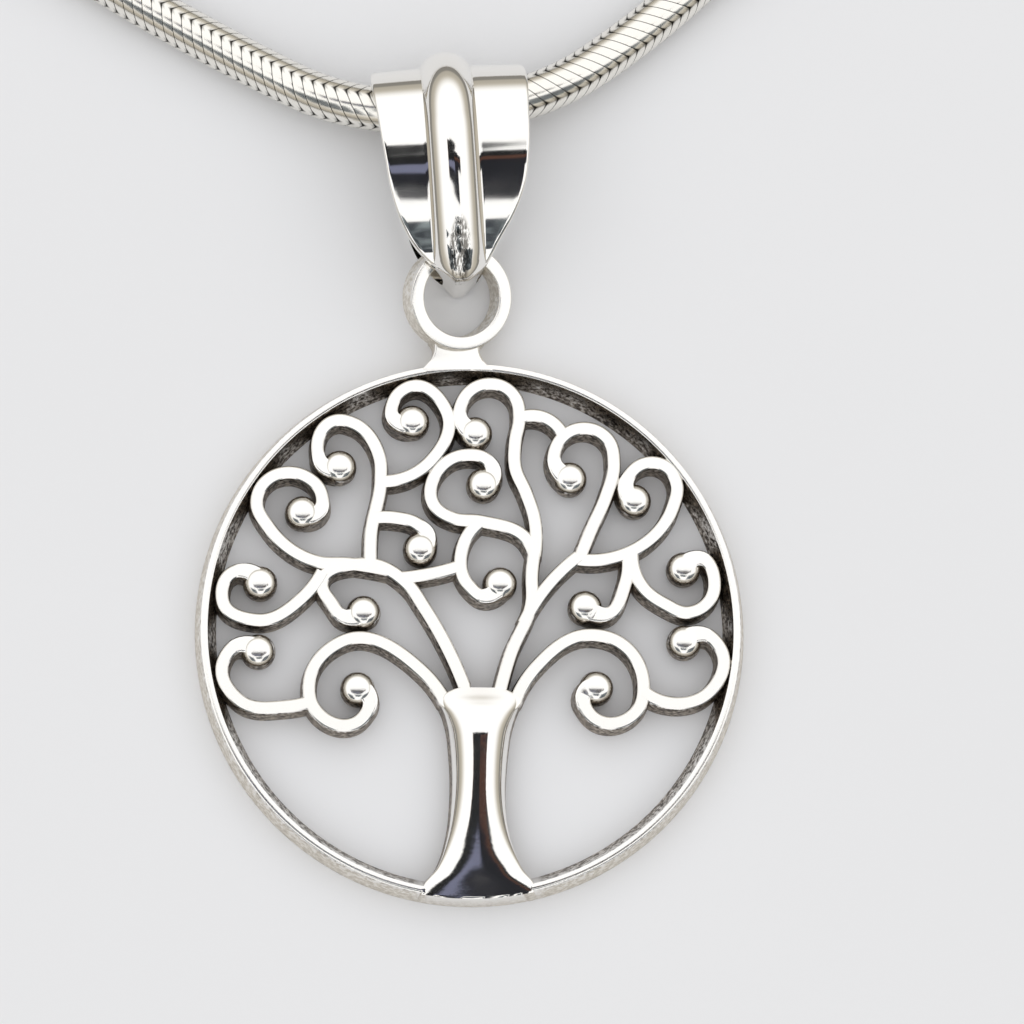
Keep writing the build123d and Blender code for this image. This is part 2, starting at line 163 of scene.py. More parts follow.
# Nested lists fill a matrix column by column, so these rows are turned over after that
camera.matrix_world = [[right[i], upward[i], to_lens[i], target[i] + LENS_FROM_PENDANT * to_lens[i]]
                       for i in range(3)] + [[0, 0, 0, 1]]
camera.matrix_world.transpose()
bpy.context.scene.collection.objects.link(camera)
bpy.context.scene.camera = camera
bpy.context.scene.view_settings.view_transform = "Standard"

# Matt lacquered table top, very faintly mottled
table_lacquer, tree = new_material("table_lacquer")
coords = add(tree, "ShaderNodeTexCoord")
grain = add(tree, "ShaderNodeTexNoise", Vector=coords.outputs["Object"], Scale=TABLE_GRAINS_PER_MM / MM,
            Detail=4.0)
tone = add(tree, "ShaderNodeMapRange", Value=grain.outputs["Fac"], To_Min=0.97, To_Max=1.0)
colour = add(tree, "ShaderNodeMix", {"data_type": "RGBA", "blend_type": "MULTIPLY"},
             i0=1.0, i6=linear(TABLE_WHITE), i7=tone.outputs["Result"])
lacquer = add(tree, "ShaderNodeBsdfPrincipled", Base_Color=colour.outputs[2], Roughness=0.6)
add(tree, "ShaderNodeOutputMaterial", Surface=lacquer.outputs["BSDF"])
card("table", (0, 0, -0.02 * MM), (TABLE_HALF, 0, 0), (0, TABLE_HALF, 0), table_lacquer)

# Tent of white cloth, brightest overhead and warmer at its hem, with dim grey under it
world = bpy.data.worlds.new("tent")
bpy.context.scene.world = world
world.use_nodes = True
sky = world.node_tree
sky.nodes.clear()
direction = add(sky, "ShaderNodeTexCoord")
parts = add(sky, "ShaderNodeSeparateXYZ", Vector=direction.outputs["Generated"])
strength = add(sky, "ShaderNodeMapRange", SOFT_RAMP, Value=parts.outputs["Z"], From_Min=0.2, From_Max=0.7,
               To_Min=0.68, To_Max=1.2)
hem = add(sky, "ShaderNodeMapRange", SOFT_RAMP, Value=parts.outputs["Z"], From_Min=0.13, From_Max=0.2)
low_tent = add(sky, "ShaderNodeMix", OF_COLOURS, i0=hem.outputs["Result"], i6=linear(UNDER_HEM_GREY),
               i7=linear(TENT_HEM))
overhead = add(sky, "ShaderNodeMapRange", SOFT_RAMP, Value=parts.outputs["Z"], From_Min=0.3, From_Max=0.65)
tent = add(sky, "ShaderNodeMix", OF_COLOURS, i0=overhead.outputs["Result"], i6=low_tent.outputs[2],
           i7=linear(TENT_WHITE))
tent_light = add(sky, "ShaderNodeBackground", Color=tent.outputs[2], Strength=strength.outputs["Result"])
add(sky, "ShaderNodeOutputWorld", Surface=tent_light.outputs["Background"])

# Dark cloth round the lens: nearly black, with a lavender stripe on its left and a thin brown one on
# its right, navy below them, brown at both ends and creased slate in front. Only the silver sees it.
dark_cloth, tree = new_material("striped_dark_cloth")
coords = add(tree, "ShaderNodeTexCoord")
fold = add(tree, "ShaderNodeTexNoise", Vector=coords.outputs["Object"], Scale=CLOTH_FOLDS_PER_MM / MM,
           Detail=3.0)
shift = add(tree, "ShaderNodeVectorMath", {"operation": "SCALE"}, Vector=fold.outputs["Color"],
            Scale=10 * MM)
moved = add(tree, "ShaderNodeVectorMath", {"operation": "ADD"}, i0=coords.outputs["Object"],
            i1=shift.outputs["Vector"])
place = add(tree, "ShaderNodeSeparateXYZ", Vector=moved.outputs["Vector"])
sides = []
for bands in (LEFT_BANDS, RIGHT_BANDS):
    shade = linear(CLOTH_BLACK)
    for edge, band_colour in bands:
        below = add(tree, "ShaderNodeMapRange", SOFT_RAMP, Value=place.outputs["Y"],
                    From_Min=disc_y + (edge + BAND_SOFTNESS) * MM,
                    From_Max=disc_y + (edge - BAND_SOFTNESS) * MM)
        banded = add(tree, "ShaderNodeMix", OF_COLOURS, i0=below.outputs["Result"], i6=shade,
                     i7=linear(band_colour))
        shade = banded.outputs[2]
    sides.append(shade)
# Its left side blends into its right side 22 mm to the right of the disc's middle
on_right = add(tree, "ShaderNodeMapRange", SOFT_RAMP, Value=place.outputs["X"],
               From_Min=disc_x + 18 * MM, From_Max=disc_x + 26 * MM)
both = add(tree, "ShaderNodeMix", OF_COLOURS, i0=on_right.outputs["Result"], i6=sides[0], i7=sides[1])
aside = add(tree, "ShaderNodeMath", {"operation": "SUBTRACT"}, i0=place.outputs["X"], i1=disc_x + 26 * MM)
away = add(tree, "ShaderNodeMath", {"operation": "ABSOLUTE"}, i0=aside.outputs["Value"])
at_end = add(tree, "ShaderNodeMapRange", SOFT_RAMP, Value=away.outputs["Value"],
             From_Min=118 * MM, From_Max=130 * MM)
with_ends = add(tree, "ShaderNodeMix", OF_COLOURS, i0=at_end.outputs["Result"], i6=both.outputs[2],
                i7=linear(CLOTH_BROWN))
drawn_out = add(tree, "ShaderNodeVectorMath", {"operation": "MULTIPLY"}, i0=coords.outputs["Object"],
                i1=(1, 0.25, 1))
crease = add(tree, "ShaderNodeTexNoise", Vector=drawn_out.outputs["Vector"],
             Scale=CLOTH_CREASES_PER_MM / MM, Detail=3.0)
lit = add(tree, "ShaderNodeMapRange", SOFT_RAMP, Value=crease.outputs["Fac"], From_Min=0.46, From_Max=0.62)
slate = add(tree, "ShaderNodeMix", OF_COLOURS, i0=lit.outputs["Result"], i6=linear(CLOTH_SLATE),
            i7=linear(CLOTH_SLATE_LIGHT))
in_front = add(tree, "ShaderNodeMapRange", SOFT_RAMP, Value=place.outputs["Y"],
               From_Min=disc_y - 49 * MM, From_Max=disc_y - 55 * MM)
whole = add(tree, "ShaderNodeMix", OF_COLOURS, i0=in_front.outputs["Result"], i6=with_ends.outputs[2],
            i7=slate.outputs[2])
weave = add(tree, "ShaderNodeBsdfPrincipled", Base_Color=whole.outputs[2], Roughness=0.9)
add(tree, "ShaderNodeOutputMaterial", Surface=weave.outputs["BSDF"])
for name, edges in CLOTH_PIECES.items():
    cloth_left, cloth_right, cloth_near, cloth_far = (edge * MM for edge in edges)
    centre = (disc_x + (cloth_left + cloth_right) / 2, disc_y + (cloth_near + cloth_far) / 2, CLOTH_HEIGHT)
    cloth = card("cloth_" + name, centre, ((cloth_right - cloth_left) / 2, 0, 0),
                 (0, (cloth_far - cloth_near) / 2, 0), dark_cloth)
    cloth.visible_camera = False
    cloth.visible_shadow = False
    cloth.visible_diffuse = False


# Snake chain: rows of thin silver plates, each bent in a zigzag round the chain and nested into the
# next, so that it feels like a smooth round cord. It runs through the bail and round to the clasp.

CHAIN_RADIUS = 1.15 * MM
CHAIN_FACETS = 24
PLATE_PITCH = 0.60 * MM
PLATE_SLANT = 1.20 * MM
SEAM_DEPTH = 0.05 * MM
# Rings along one plate: place in it, height in seam depths, painted shade and tarnish all round and at
# the zigzag's turns, and tip of the normal
PLATE_RINGS = np.array([
    (0.00, -1.00, 1.00, 0.00, 0.00), (0.05, -0.15, 0.25, 1.00, -0.08), (0.12, 0.00, 0.00, 0.55, -0.03),
    (0.50, 0.12, 0.00, 0.00, 0.00), (0.88, 0.00, 0.00, 0.55, 0.03), (0.95, -0.15, 0.25, 1.00, 0.08),
])
# Degrees round the chain at which a row's edge starts and by which it turns along the stretch in the
# bail, that stretch's length, and the length over which the zigzag fades at both ends
ROW_EDGE = 46
ROW_TURN = 30
TURNING_LENGTH = 12 * MM
FADING_LENGTH = 3 * MM
PLATE_SILVER = "#F4F1EA"
SEAM_SHADE_AND_TARNISH = "#2E2C28"
CHAIN_ROUTE = [
    (0.00228, 0.09648, 0.00190), (0.01220, 0.09648, 0.00190), (0.02720, 0.08498, 0.00115),
    (0.04270, 0.07048, 0.00115), (0.05170, 0.05198, 0.00115), (0.05470, 0.03098, 0.00115),
    (0.05220, 0.01048, 0.00115), (0.04470, -0.00652, 0.00115), (0.03520, -0.02172, 0.00115),
    (0.02530, -0.03582, 0.00115), (0.01740, -0.04622, 0.00115), (0.01080, -0.05272, 0.00115),
    (0.00450, -0.05724, 0.00210), (-0.00440, -0.05782, 0.00210), (-0.01110, -0.05432, 0.00115),
    (-0.01960, -0.04942, 0.00115), (-0.02980, -0.04132, 0.00115), (-0.04030, -0.02902, 0.00115),
    (-0.04930, -0.01202, 0.00115), (-0.05380, 0.00798, 0.00115), (-0.05430, 0.02948, 0.00115),
    (-0.04980, 0.05098, 0.00115), (-0.04080, 0.06948, 0.00115), (-0.02630, 0.08448, 0.00115),
    (-0.01180, 0.09648, 0.00190), (-0.00188, 0.09648, 0.00190),
]


def route_points(route):
    """Points along the NURBS spline that has the route as its control points."""
    line = bpy.data.curves.new("route", "CURVE")
    line.dimensions = "3D"
    spline = line.splines.new("NURBS")
    spline.points.add(len(route) - 1)
    spline.points.foreach_set("co", [v for point in route for v in (*point, 1.0)])
    spline.order_u = 3
    spline.use_endpoint_u = True
    spline.resolution_u = 48
    holder = bpy.data.objects.new("route", line)
    bpy.context.scene.collection.objects.link(holder)
    mesh = bpy.data.meshes.new_from_object(holder)
    points = np.empty(len(mesh.vertices) * 3)
    mesh.vertices.foreach_get("co", points)
    bpy.data.objects.remove(holder)
    bpy.data.curves.remove(line)
    bpy.data.meshes.remove(mesh)
    return points.reshape(-1, 3)


def strip_faces(rows, columns, closed=False):
    """Quads between neighbouring points of a grid stored row by row. A row is a closed ring, and where
    the strip is closed, its last row joins its first."""
    r = np.arange(rows if closed else rows - 1)
    c = np.arange(columns)
    r, c = np.meshgrid(r, c, indexing="ij")
    next_r = (r + 1) % rows
    next_c = (c + 1) % columns
    quads = [r * columns + c, r * columns + next_c, next_r * columns + next_c, next_r * columns + c]
    return np.stack(quads, -1).reshape(-1, 4)


def end_faces(rows, columns):
    """The two faces that close the first and the last ring of such a grid."""
    first = np.arange(columns)
    last = first + (rows - 1) * columns
    return [first[::-1].tolist(), last.tolist()]


def make_snake_chain(route, material):
    """Tube round the route. Round the tube the angle goes once round from the edge of a row, and along
    it the rings of each plate follow each other: the ring in the seam is sunk by the seam's depth and
    the middle one stands full. Each ring is slid along the chain by the slant times a zigzag that
    runs twice round the tube, and the row's edge turns on its way through the bail. A normal is the
    tube's own, tipped away from the plate's middle next to a seam."""
    line = route_points(route)
    reach = np.concatenate([[0], np.cumsum(np.linalg.norm(np.diff(line, axis=0), axis=1))])
    length = reach[-1]
    plates = int(length / PLATE_PITCH)
    rings = np.concatenate([np.tile(PLATE_RINGS, (plates, 1)), np.zeros((1, 5))])
    in_plate, swell, seam, turn, tip = rings.T[:, :, None]
    along = (np.arange(len(rings))[:, None] // len(PLATE_RINGS) + in_plate) * (length / plates)
    radius = CHAIN_RADIUS + (swell - swell.max()) * SEAM_DEPTH
    from_bail = along - reach[np.argmin(line[:, 1])]
    turned = np.clip(from_bail / TURNING_LENGTH + 0.5, 0, 1)
    column = np.arange(CHAIN_FACETS)
    quarter = CHAIN_FACETS // 4
    angle = np.radians(ROW_EDGE + ROW_TURN * turned) + column / CHAIN_FACETS * 2 * np.pi
    zigzag = np.abs((column / quarter) % 2 - 1) - 0.5
    fade = np.clip(np.minimum(along, length - along) / FADING_LENGTH, 0, 1)
    place = np.clip(along + PLATE_SLANT * fade * zigzag, 0, length)
    middle = np.stack([np.interp(place, reach, line[:, i]) for i in range(3)], -1)
    heading = np.gradient(line, axis=0)
    heading /= np.linalg.norm(heading, axis=1)[:, None]
    ahead = np.stack([np.interp(place, reach, heading[:, i]) for i in range(3)], -1)
    side = np.cross(ahead, [0, 0, 1])
    side /= np.linalg.norm(side, axis=-1)[..., None]
    up = np.cross(side, ahead)
    out = side * np.cos(angle)[..., None] + up * np.sin(angle)[..., None]
    points = middle + radius[..., None] * out
    inward = strip_faces(len(rings), CHAIN_FACETS).tolist() + end_faces(len(rings), CHAIN_FACETS)
    faces = [face[::-1] for face in inward]
    piece = new_mesh("snake_chain_plates", points.reshape(-1, 3), faces, material, smooth_angle=60)
    normals = (out + tip[..., None] * ahead).reshape(-1, 3)
    normals /= np.linalg.norm(normals, axis=1)[:, None]
    piece.data.normals_split_custom_set_from_vertices(normals.tolist())
    # Painted shade, with some tarnish, darkens the seams and the zigzag's turns, since the normals keep the
    # shallow grooves from shading themselves
    dark = np.clip(seam + turn * (column % quarter == 0), 0, 1)
    shade = piece.data.attributes.new("seam", "FLOAT", "POINT")
    shade.data.foreach_set("value", dark.ravel())
    return piece


# Sterling silver plates, polished bright, with tarnish and painted shade in the seams and at the zigzag's
# turns
chain_silver, tree = new_material("polished_plate_silver")
seam = add(tree, "ShaderNodeAttribute", {"attribute_name": "seam"})
shade_and_tarnish = add(tree, "ShaderNodeMapRange", SOFT_RAMP, Value=seam.outputs["Fac"], From_Min=0.1, From_Max=0.8)
colour = add(tree, "ShaderNodeMix", OF_COLOURS, i0=shade_and_tarnish.outputs["Result"], i6=linear(PLATE_SILVER),
             i7=linear(SEAM_SHADE_AND_TARNISH))
silver = add(tree, "ShaderNodeBsdfPrincipled", Base_Color=colour.outputs[2], Metallic=1.0, Roughness=0.18)
add(tree, "ShaderNodeOutputMaterial", Surface=silver.outputs["BSDF"])

chain = make_snake_chain(CHAIN_ROUTE, chain_silver)
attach(chain, "root")
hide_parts("snake_chain")


# Clasp: a plain silver barrel that screws together behind the neck, with a chain end in each half. It
# keeps its CAD shape.

CLASP_MARKS_PER_MM = 0.9
CLASP_SILVER = "#F2EFE8"

# Turned silver, whose lathe marks make its shine a little uneven
clasp_silver, tree = new_material("turned_clasp_silver")
coords = add(tree, "ShaderNodeTexCoord")
marks = add(tree, "ShaderNodeTexNoise", Vector=coords.outputs["Object"], Scale=CLASP_MARKS_PER_MM / MM,
            Detail=2.0)
gloss = add(tree, "ShaderNodeMapRange", Value=marks.outputs["Fac"], To_Min=0.12, To_Max=0.26)
silver = add(tree, "ShaderNodeBsdfPrincipled", Base_Color=linear(CLASP_SILVER), Metallic=1.0,
             Roughness=gloss.outputs["Result"])
add(tree, "ShaderNodeOutputMaterial", Surface=silver.outputs["BSDF"])
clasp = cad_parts["barrel_clasp"]
clasp.data.materials.clear()
clasp.data.materials.append(clasp_silver)


# Bail: a strip of silver sheet folded over the chain and closed at its tip, with a half-round rib
# soldered along the middle. It hangs in the medallion's loop.

BAIL_TIP = (0.9159 * MM, -66.7827 * MM)
BAIL_LEAN = math.radians(4.4)
BAIL_LENGTH = 11.45 * MM
BAIL_HEIGHT = 5.5 * MM
BAIL_HALF_WIDTH = 4.0 * MM
BAIL_BACK_SHARE = 0.75
BAIL_WALL = 0.42 * MM
BAIL_CROWN = 0.10 * MM
BAIL_ROUNDING = 0.14 * MM
RIB_RADIUS = 1.5 * MM
RIB_PROUD = 0.78 * MM
RIB_HALF_WIDTH = math.sqrt(RIB_RADIUS**2 - (RIB_RADIUS - RIB_PROUD) ** 2)
# Side profile from the back round the tip, over the front and round the fold: percent of the length
# from the tip, percent of the height
BAIL_PROFILE = [(60, 0), (40, 0), (22, 0), (12, 0), (8, 0), (1.5, 8), (0, 25), (0.8, 49), (4.5, 66),
                (10, 73.5), (20, 80.5), (38, 90), (55, 97), (71, 99.7), (86.5, 92.2), (96, 74), (100, 45),
                (97, 16), (85, 0), (80, 0), (60, 0)]
# Front outline: percent of the length from the tip, then left and right of the rib's middle in percent
# of the half width
BAIL_OUTLINE = [(-1, 9, 9), (1.5, 17.5, 20.5), (6, 33, 36), (16, 61, 55.5), (27, 76, 76.5), (40, 84.5, 92.5),
                (55, 88.5, 99.5), (75, 94, 102.5), (100, 105.5, 111), (115, 107.5, 113)]
# Hammer marks: middle of the patch from the tip, its half sizes, the height at which it begins on the
# rib's front, and how fine the marks are
HAMMERED_MIDDLE = (-0.10 * MM, 1.3 * MM)
HAMMERED_HALF_WIDTH = 0.62 * MM
HAMMERED_HALF_LENGTH = 1.9 * MM
HAMMERED_FROM = 2.9 * MM
HAMMER_MARKS_PER_MM = 9
RUBS_PER_MM = 0.5
SHEET_SILVER = "#F6F4F0"
HAMMERED_GREY = "#807D78"


def smooth_line(points, step):
    """Points every step along a smooth line through the given ones, all as complex numbers. The heading
    at a point is that of the circle through it and its neighbours, and at an end it mirrors the
    inner one about the chord. Between two points runs the cubic with those headings whose speed is
    the chord over the squared cosine of a quarter of the turn, which is near a circle's arc."""
    points = np.asarray(points)
    chord = np.diff(points)
    along = 1 / np.conj(chord[:-1]) + 1 / np.conj(chord[1:])
    inner = along / np.abs(along)
    first = (chord[0] / np.abs(chord[0])) ** 2 * np.conj(inner[0])
    last = (chord[-1] / np.abs(chord[-1])) ** 2 * np.conj(inner[-1])
    heading = np.concatenate([[first], inner, [last]])
    speed = np.abs(chord) / np.cos(np.angle(heading[1:] / heading[:-1]) / 4) ** 2
    t = np.linspace(0, 1, 40, endpoint=False)[None, :]
    start, end = points[:-1, None], points[1:, None]
    leave, arrive = (heading[:-1] * speed)[:, None], (heading[1:] * speed)[:, None]
    line = (start * (2 * t**3 - 3 * t**2 + 1) + leave * (t**3 - 2 * t**2 + t)
            + end * (3 * t**2 - 2 * t**3) + arrive * (t**3 - t**2)).ravel()
    line = np.append(line, points[-1])
    reach = np.concatenate([[0], np.cumsum(np.abs(np.diff(line)))])
    even = np.linspace(0, reach[-1], max(2, int(round(reach[-1] / step)) + 1))
    return np.interp(even, reach, line.real) + 1j * np.interp(even, reach, line.imag)


def bail_half_width(place, side):
    """Half width of the strip on one side of the rib, left where the side is below 0, at complex places
    of distance from the tip and height: the front outline's, times a share that falls from the front
    to the back."""
    edges = []
    for column in (1, 2):
        rows = [complex(row[0] * BAIL_LENGTH, row[column] * BAIL_HALF_WIDTH) / 100 for row in BAIL_OUTLINE]
        outline = smooth_line(rows, 0.05 * MM)
        edges.append(np.interp(place.real, outline.real, outline.imag))
    share = BAIL_BACK_SHARE + (1 - BAIL_BACK_SHARE) * place.imag / BAIL_HEIGHT
    return np.where(side < 0, edges[0], edges[1]) * share


def outer_lift(width, half, height):
    """Lift of the outer face over the strip: the rib's circle, or where that is lower, a crown that
    falls with the square of the distance from the rib. A quarter round is taken off at the edge. The
    rib rises smoothly between 2 and 12 percent of the bail's height, since the back has none."""
    near_edge = np.clip(1 - (half - np.abs(width)) / BAIL_ROUNDING, 0, 1)
    rounding = BAIL_ROUNDING * (1 - np.sqrt(1 - near_edge**2))
    crown = -BAIL_CROWN * (width / BAIL_HALF_WIDTH) ** 2
    front = np.clip((height / BAIL_HEIGHT - 0.02) / 0.10, 0, 1)
    front = front * front * (3 - 2 * front)
    circle = np.sqrt(np.clip(RIB_RADIUS**2 - width**2, 0, None)) - (RIB_RADIUS - RIB_PROUD)
    return np.maximum(crown - rounding, circle * front - rounding * (half < RIB_HALF_WIDTH))


def make_bail(material):
    """Band carried round the side profile, with an outer face that carries the rib and a flat inner
    face. The width at a column is its share of the rib's half width and its share of what is left up
    to the strip's edge. Where a point lies decides how wide the strip is there and so its lift, which
    moves it, so both are worked out four times in turn. No point lies beyond the outline's own tip."""
    profile = [complex(x * BAIL_LENGTH, z * BAIL_HEIGHT) / 100 for x, z in BAIL_PROFILE]
    line = smooth_line(profile, 0.09 * MM)[:-1, None]
    ahead = np.roll(line, -1) - np.roll(line, 1)
    out = 1j * ahead / np.abs(ahead)
    shortest = BAIL_OUTLINE[0][0] * BAIL_LENGTH / 100
    swing = np.linspace(0, 1, 22)[1:] * math.asin(RIB_HALF_WIDTH / RIB_RADIUS)
    on_rib = np.sin(swing) * RIB_RADIUS / RIB_HALF_WIDTH
    on_flat = np.array([0.03, 0.08, 0.2, 0.35, 0.5, 0.65, 0.8, 0.9, 0.94, 0.97, 0.985, 1.0])
    rib_share = np.concatenate([on_rib, np.ones(len(on_flat))])
    flat_share = np.concatenate([np.zeros(len(on_rib)), on_flat])
    side = np.concatenate([-np.ones(len(rib_share)), [0], np.ones(len(rib_share))])
    rib_share = np.concatenate([rib_share[::-1], [0], rib_share])
    flat_share = np.concatenate([flat_share[::-1], [0], flat_share])
    layers = []
    for depth in (0.0, BAIL_WALL):
        lift = np.full((len(line), len(side)), -depth)
        for again in range(4):
            place = line + out * lift
            place = np.maximum(place.real, shortest) + 1j * np.maximum(place.imag, 0)
            half = bail_half_width(place, side)
            bend = np.minimum(RIB_HALF_WIDTH, 0.9 * half)
            width = side * (rib_share * bend + flat_share * (half - bend))
            if depth == 0:
                lift = outer_lift(width, half, line.imag)
        layers.append((width, place))
    (outer_width, outer_place), (inner_width, inner_place) = layers
    width = np.concatenate([outer_width, inner_width[:, ::-1]], axis=1)
    place = np.concatenate([outer_place, inner_place[:, ::-1]], axis=1)
    x = BAIL_TIP[0] + width * math.cos(BAIL_LEAN) - place.real * math.sin(BAIL_LEAN)
    y = BAIL_TIP[1] + width * math.sin(BAIL_LEAN) + place.real * math.cos(BAIL_LEAN)
    points = np.stack([x, y, place.imag], -1)
    faces = strip_faces(*width.shape, closed=True).tolist()
    return new_mesh("folded_bail", points.reshape(-1, 3), faces, material)


# Rolled sterling sheet, mirror polished, with a patch of hammer marks on the rib above the tip
bail_silver, tree = new_material("mirror_polished_sheet_silver")
coords = add(tree, "ShaderNodeTexCoord")
rub = add(tree, "ShaderNodeTexNoise", Vector=coords.outputs["Object"], Scale=RUBS_PER_MM / MM, Detail=3.0)
gloss = add(tree, "ShaderNodeMapRange", Value=rub.outputs["Fac"], To_Min=0.02, To_Max=0.08)
from_patch = add(tree, "ShaderNodeVectorMath", {"operation": "SUBTRACT"}, i0=coords.outputs["Object"],
                 i1=(BAIL_TIP[0] + HAMMERED_MIDDLE[0], BAIL_TIP[1] + HAMMERED_MIDDLE[1], 0))
shares = add(tree, "ShaderNodeVectorMath", {"operation": "MULTIPLY"}, i0=from_patch.outputs["Vector"],
             i1=(1 / HAMMERED_HALF_WIDTH, 1 / HAMMERED_HALF_LENGTH, 0))
off = add(tree, "ShaderNodeVectorMath", {"operation": "LENGTH"}, i0=shares.outputs["Vector"])
patch = add(tree, "ShaderNodeMapRange", SOFT_RAMP, Value=off.outputs["Value"], From_Min=1.0, From_Max=0.7)
surface = add(tree, "ShaderNodeNewGeometry")
facing = add(tree, "ShaderNodeSeparateXYZ", Vector=surface.outputs["Normal"])
front = add(tree, "ShaderNodeMath", {"operation": "GREATER_THAN"}, i0=facing.outputs["Z"], i1=0.0)
level = add(tree, "ShaderNodeSeparateXYZ", Vector=coords.outputs["Object"])
above = add(tree, "ShaderNodeMapRange", SOFT_RAMP, Value=level.outputs["Z"],
            From_Min=HAMMERED_FROM, From_Max=HAMMERED_FROM + 0.6 * MM)
on_front = add(tree, "ShaderNodeMath", {"operation": "MULTIPLY"}, i0=above.outputs["Result"],
               i1=front.outputs["Value"])
marked = add(tree, "ShaderNodeMath", {"operation": "MULTIPLY"}, i0=patch.outputs["Result"],
             i1=on_front.outputs["Value"])
drawn_out = add(tree, "ShaderNodeVectorMath", {"operation": "MULTIPLY"}, i0=coords.outputs["Object"],
                i1=(1, 0.3, 0.3))
marks = add(tree, "ShaderNodeTexNoise", Vector=drawn_out.outputs["Vector"], Scale=HAMMER_MARKS_PER_MM / MM,
            Detail=2.0)
depth = add(tree, "ShaderNodeMath", {"operation": "MULTIPLY"}, i0=marked.outputs["Value"], i1=0.3)
dents = add(tree, "ShaderNodeBump", Strength=depth.outputs["Value"], Distance=0.05 * MM,
            Height=marks.outputs["Fac"])
# Inside the patch the low parts of the marks are coloured darker grey
in_dents = add(tree, "ShaderNodeMapRange", SOFT_RAMP, Value=marks.outputs["Fac"], From_Min=0.62, From_Max=0.42)
greyed = add(tree, "ShaderNodeMath", {"operation": "MULTIPLY"}, i0=marked.outputs["Value"],
            i1=in_dents.outputs["Result"])
colour = add(tree, "ShaderNodeMix", OF_COLOURS, i0=greyed.outputs["Value"], i6=linear(SHEET_SILVER),
             i7=linear(HAMMERED_GREY))
silver = add(tree, "ShaderNodeBsdfPrincipled", Base_Color=colour.outputs[2], Metallic=1.0,
             Roughness=gloss.outputs["Result"], Normal=dents.outputs["Normal"])
add(tree, "ShaderNodeOutputMaterial", Surface=silver.outputs["BSDF"])

bail = make_bail(bail_silver)
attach(bail, "root")
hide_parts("bail")


# Medallion: one casting in silver of a ring, a tree cut through inside it, a neck and a hanging loop.
# Its front is polished flat and its walls lean in from the back, as they leave the mould.

THICKNESS = 1.65 * MM
RING_FOOT = 1.08 * MM
# Front edges of the ring, in from the foot of its outer wall
RING_OUTER_EDGE = 0.24 * MM
RING_INNER_EDGE = 0.72 * MM
# How both front edges are softened, in millimetres: in from the edge, down from the front
RING_SOFTENING = [(0.03, 0.09), (0.07, 0.02), (0.12, 0)]
# Boughs: name, whether it ends in a ball, and points along its middle, in percent of the disc's radius
# from the disc's middle
BOUGHS = [
    ("left_main", True,
     [(-2.5, -21), (-17, 7.5), (-23, 16), (-38, 23.5), (-54, 14.5), (-51, 9.5), (-46, 4), (-39, 6)]),
    ("left_upper", True,
     [(-29.5, 21), (-44.5, 23.5), (-55.5, 24), (-73.5, 36.5), (-78, 46), (-59.5, 55), (-54.5, 49),
      (-55.5, 42.5), (-61.5, 42.5)]),
    ("left_crown", True,
     [(-36.5, 22.5), (-36.5, 34), (-33, 54.5), (-33.5, 63), (-43.5, 75.5), (-48.5, 76.5), (-56, 65),
      (-53.5, 59.5), (-48, 59.5)]),
    ("left_top", True,
     [(-33, 54), (-15, 61.5), (-9, 80), (-23, 89), (-28.5, 83.5), (-28.5, 77.5), (-21.5, 76.5)]),
    ("left_inner_bud", True,
     [(-35.5, 40.5), (-27, 40.5), (-20, 38.5), (-16, 34), (-18.5, 29.5)]),
    ("left_outer", True,
     [(-54, 20.5), (-61, 11), (-77.5, 2.5), (-90, 9.5), (-84.5, 20.5), (-76.5, 16.5)]),
    ("left_low_outer", True,
     [(-57.5, -27), (-67, -29), (-83.5, -27), (-89.5, -12.5), (-85, -7), (-77, -8.5)]),
    ("left_low_scroll", True,
     [(-9.5, -26.5), (-18, -15.5), (-46.5, -5), (-58.5, -20), (-57, -29), (-38.5, -32),
      (-36.5, -26.5), (-41, -22)]),
    ("left_bridge", False,
     [(-25, 18.5), (-15, 20), (-2.5, 23.5)]),
    ("centre_scroll", True,
     [(23, 27), (20.5, 32.5), (3.5, 39.5), (-6.5, 40.5), (-13, 44.5), (-10.5, 60), (-2, 64),
      (6, 62), (8, 58), (4.5, 53.5)]),
    ("centre_hook", True,
     [(3.5, 39.5), (-3, 30.5), (-1, 16), (5, 12), (10.5, 17)]),
    ("right_top", True,
     [(23, 27), (23, 40.5), (20, 50), (16, 59.5), (16, 69.5), (17.5, 78), (16, 85.5), (-3, 84.5),
      (-4, 77.5), (1.5, 72.5)]),
    ("right_bridge", False,
     [(17.5, 78), (25.5, 78.5), (33.5, 71.5)]),
    ("right_crown", True,
     [(39.5, 26.5), (43.5, 36.5), (49, 49), (52, 61), (50, 70), (31.5, 68.5), (30.5, 61), (36, 56)]),
    ("right_upper", True,
     [(38, 26), (51.5, 26.5), (73.5, 45.5), (75, 53.5), (71.5, 60), (58, 57.5), (56.5, 51.5),
      (59.5, 48)]),
    ("right_outer", True,
     [(58.5, 28.5), (63, 15), (70.5, 9.5), (78.5, 6.5), (88.5, 16.5), (82, 26.5), (77.5, 23)]),
    ("right_inner_bud", True,
     [(57, 27), (56, 17), (48, 5.5), (41.5, 8.5)]),
    ("right_main", False,
     [(10.5, -22.5), (14, -10), (22, 10.5), (22, 20), (23, 28.5)]),
    ("right_fork", False,
     [(19, 2), (29.5, 18), (39, 26.9)]),
    ("right_low_scroll", True,
     [(16, -26.5), (23.5, -14), (43, -2), (53.5, -4.5), (62.5, -20.5), (60.5, -29), (42, -29.5),
      (40.5, -24.5), (45.5, -21)]),
    ("right_low_outer", True,
     [(62, -22), (71, -26.5), (87, -22), (90.5, -6.5), (85, -1.5), (77.5, -4)]),
]
